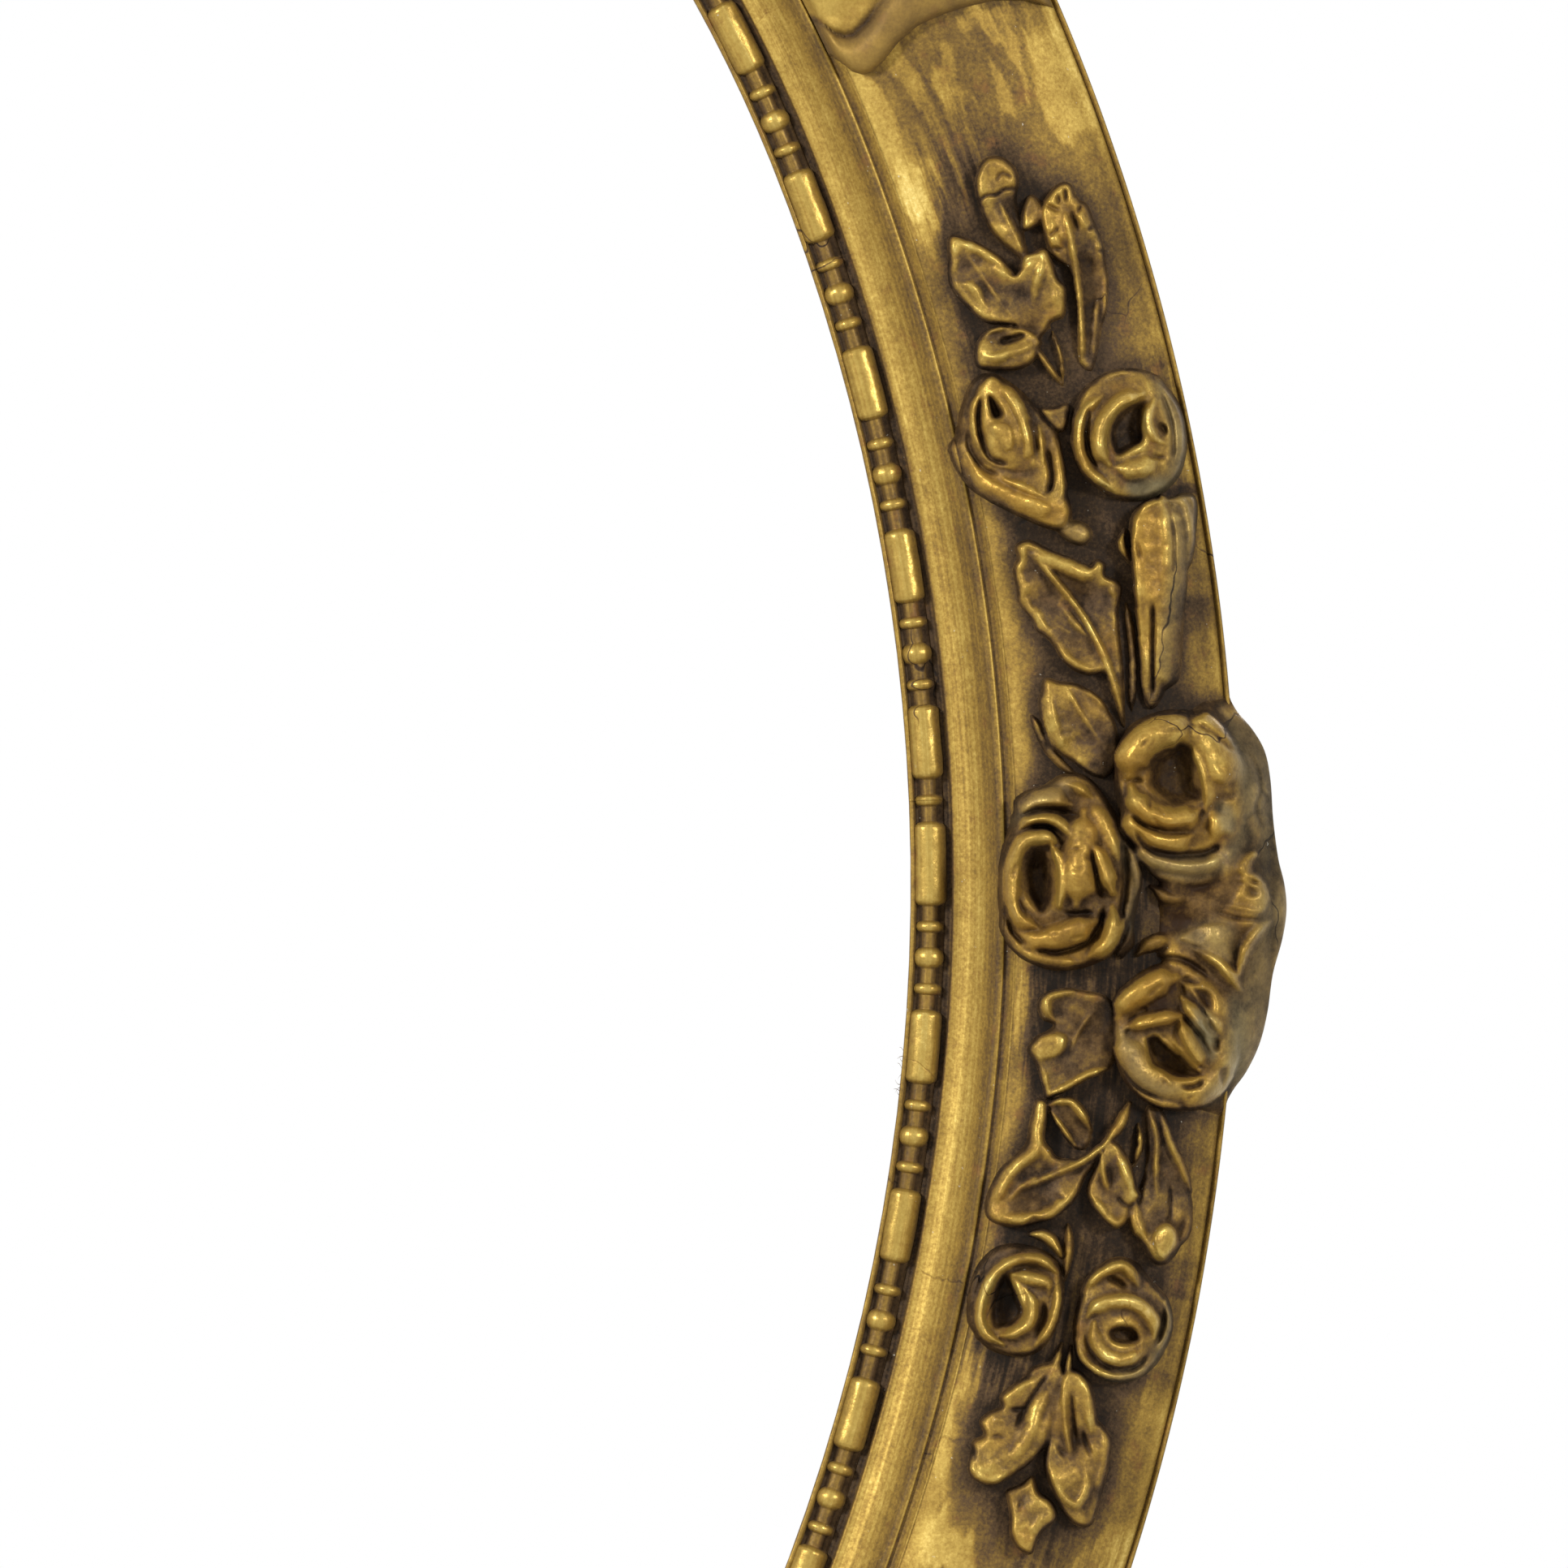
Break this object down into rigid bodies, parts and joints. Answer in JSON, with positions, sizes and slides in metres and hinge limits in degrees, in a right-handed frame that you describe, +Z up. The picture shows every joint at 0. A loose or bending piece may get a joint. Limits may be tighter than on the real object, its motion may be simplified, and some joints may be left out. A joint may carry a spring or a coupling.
{
  "type": "oval picture frame",
  "caption": "Oval gilt picture frame with a bead-and-reel sight edge, rose garlands in relief, turn buttons and hanging rings on the back.",
  "frame": {"origin": "middle of the frame's bounding box, which is the middle of the oval and half way through its depth", "axes": "+X to the right seen from the front, +Z up the oval's long axis, +Y from the gilt front towards the wall"},
  "size_m": [0.5182, 0.0414, 0.6282],
  "materials": {
    "carcass_wood": "bare aged softwood, darkened at the back",
    "spline_wood": "bare hardwood, glued in",
    "gilded_gesso": "worn gold leaf on gesso, brown patina in the hollows",
    "gilded_compo": "worn gold leaf on pressed composition, burnished high points",
    "brass_hardware": "dull aged brass",
    "steel_screws": "aged steel"
  },
  "bodies": {
    "frame": {"bead_strip_lower_left": "gilded_compo", "bead_strip_lower_right": "gilded_compo", "bead_strip_upper_left": "gilded_compo", "bead_strip_upper_right": "gilded_compo", "bottom_buds": "gilded_compo", "bottom_lower_leaves": "gilded_compo", "bottom_rose_cluster": "gilded_compo", "bottom_small_roses": "gilded_compo", "bottom_tail_sprig": "gilded_compo", "bottom_top_sprig": "gilded_compo", "bottom_upper_leaves": "gilded_compo", "carcass_bottom": "carcass_wood", "carcass_left": "carcass_wood", "carcass_lower_left": "carcass_wood", "carcass_lower_right": "carcass_wood", "carcass_right": "carcass_wood", "carcass_top": "carcass_wood", "carcass_upper_left": "carcass_wood", "carcass_upper_right": "carcass_wood", "gilt_cove": "gilded_gesso", "gilt_outer_edge": "gilded_gesso", "gilt_panel": "gilded_gesso", "hanger_screws": "steel_screws", "hanger_strap_left": "brass_hardware", "hanger_strap_right": "brass_hardware", "joint_splines": "spline_wood", "left_buds": "gilded_compo", "left_lower_leaves": "gilded_compo", "left_rose_cluster": "gilded_compo", "left_small_roses": "gilded_compo", "left_tail_sprig": "gilded_compo", "left_top_sprig": "gilded_compo", "left_upper_leaves": "gilded_compo", "ribbon_clasp_lower_left": "gilded_compo", "ribbon_clasp_lower_right": "gilded_compo", "ribbon_clasp_upper_left": "gilded_compo", "ribbon_clasp_upper_right": "gilded_compo", "right_buds": "gilded_compo", "right_lower_leaves": "gilded_compo", "right_rose_cluster": "gilded_compo", "right_small_roses": "gilded_compo", "right_tail_sprig": "gilded_compo", "right_top_sprig": "gilded_compo", "right_upper_leaves": "gilded_compo", "top_buds": "gilded_compo", "top_lower_leaves": "gilded_compo", "top_rose_cluster": "gilded_compo", "top_small_roses": "gilded_compo", "top_tail_sprig": "gilded_compo", "top_top_sprig": "gilded_compo", "top_upper_leaves": "gilded_compo", "turn_button_screws": "steel_screws"},
    "hanger_ring_right": {"hanger_ring_right": "brass_hardware"},
    "hanger_ring_left": {"hanger_ring_left": "brass_hardware"},
    "turn_button_upper_right": {"turn_button_upper_right": "brass_hardware"},
    "turn_button_upper_left": {"turn_button_upper_left": "brass_hardware"},
    "turn_button_lower_left": {"turn_button_lower_left": "brass_hardware"},
    "turn_button_lower_right": {"turn_button_lower_right": "brass_hardware"}
  },
  "joints": [
    {"name": "hanger_ring_right_swing", "type": "hinge", "parent": "frame", "child": "hanger_ring_right", "pos_m": [0.20993, 0.0179, 0.10827], "axis": [1, 0, 0], "range_deg": [0, 180]},
    {"name": "hanger_ring_left_swing", "type": "hinge", "parent": "frame", "child": "hanger_ring_left", "pos_m": [-0.20993, 0.0179, 0.10827], "axis": [1, 0, 0], "range_deg": [0, 180]},
    {"name": "turn_button_upper_right_turn", "type": "hinge", "parent": "frame", "child": "turn_button_upper_right", "pos_m": [0.16053, 0.0161, 0.18199], "axis": [0, 1, 0], "continuous": true},
    {"name": "turn_button_upper_left_turn", "type": "hinge", "parent": "frame", "child": "turn_button_upper_left", "pos_m": [-0.16053, 0.0161, 0.18199], "axis": [0, 1, 0], "continuous": true},
    {"name": "turn_button_lower_left_turn", "type": "hinge", "parent": "frame", "child": "turn_button_lower_left", "pos_m": [-0.16053, 0.0161, -0.18199], "axis": [0, 1, 0], "continuous": true},
    {"name": "turn_button_lower_right_turn", "type": "hinge", "parent": "frame", "child": "turn_button_lower_right", "pos_m": [0.16053, 0.0161, -0.18199], "axis": [0, 1, 0], "continuous": true}
  ]
}
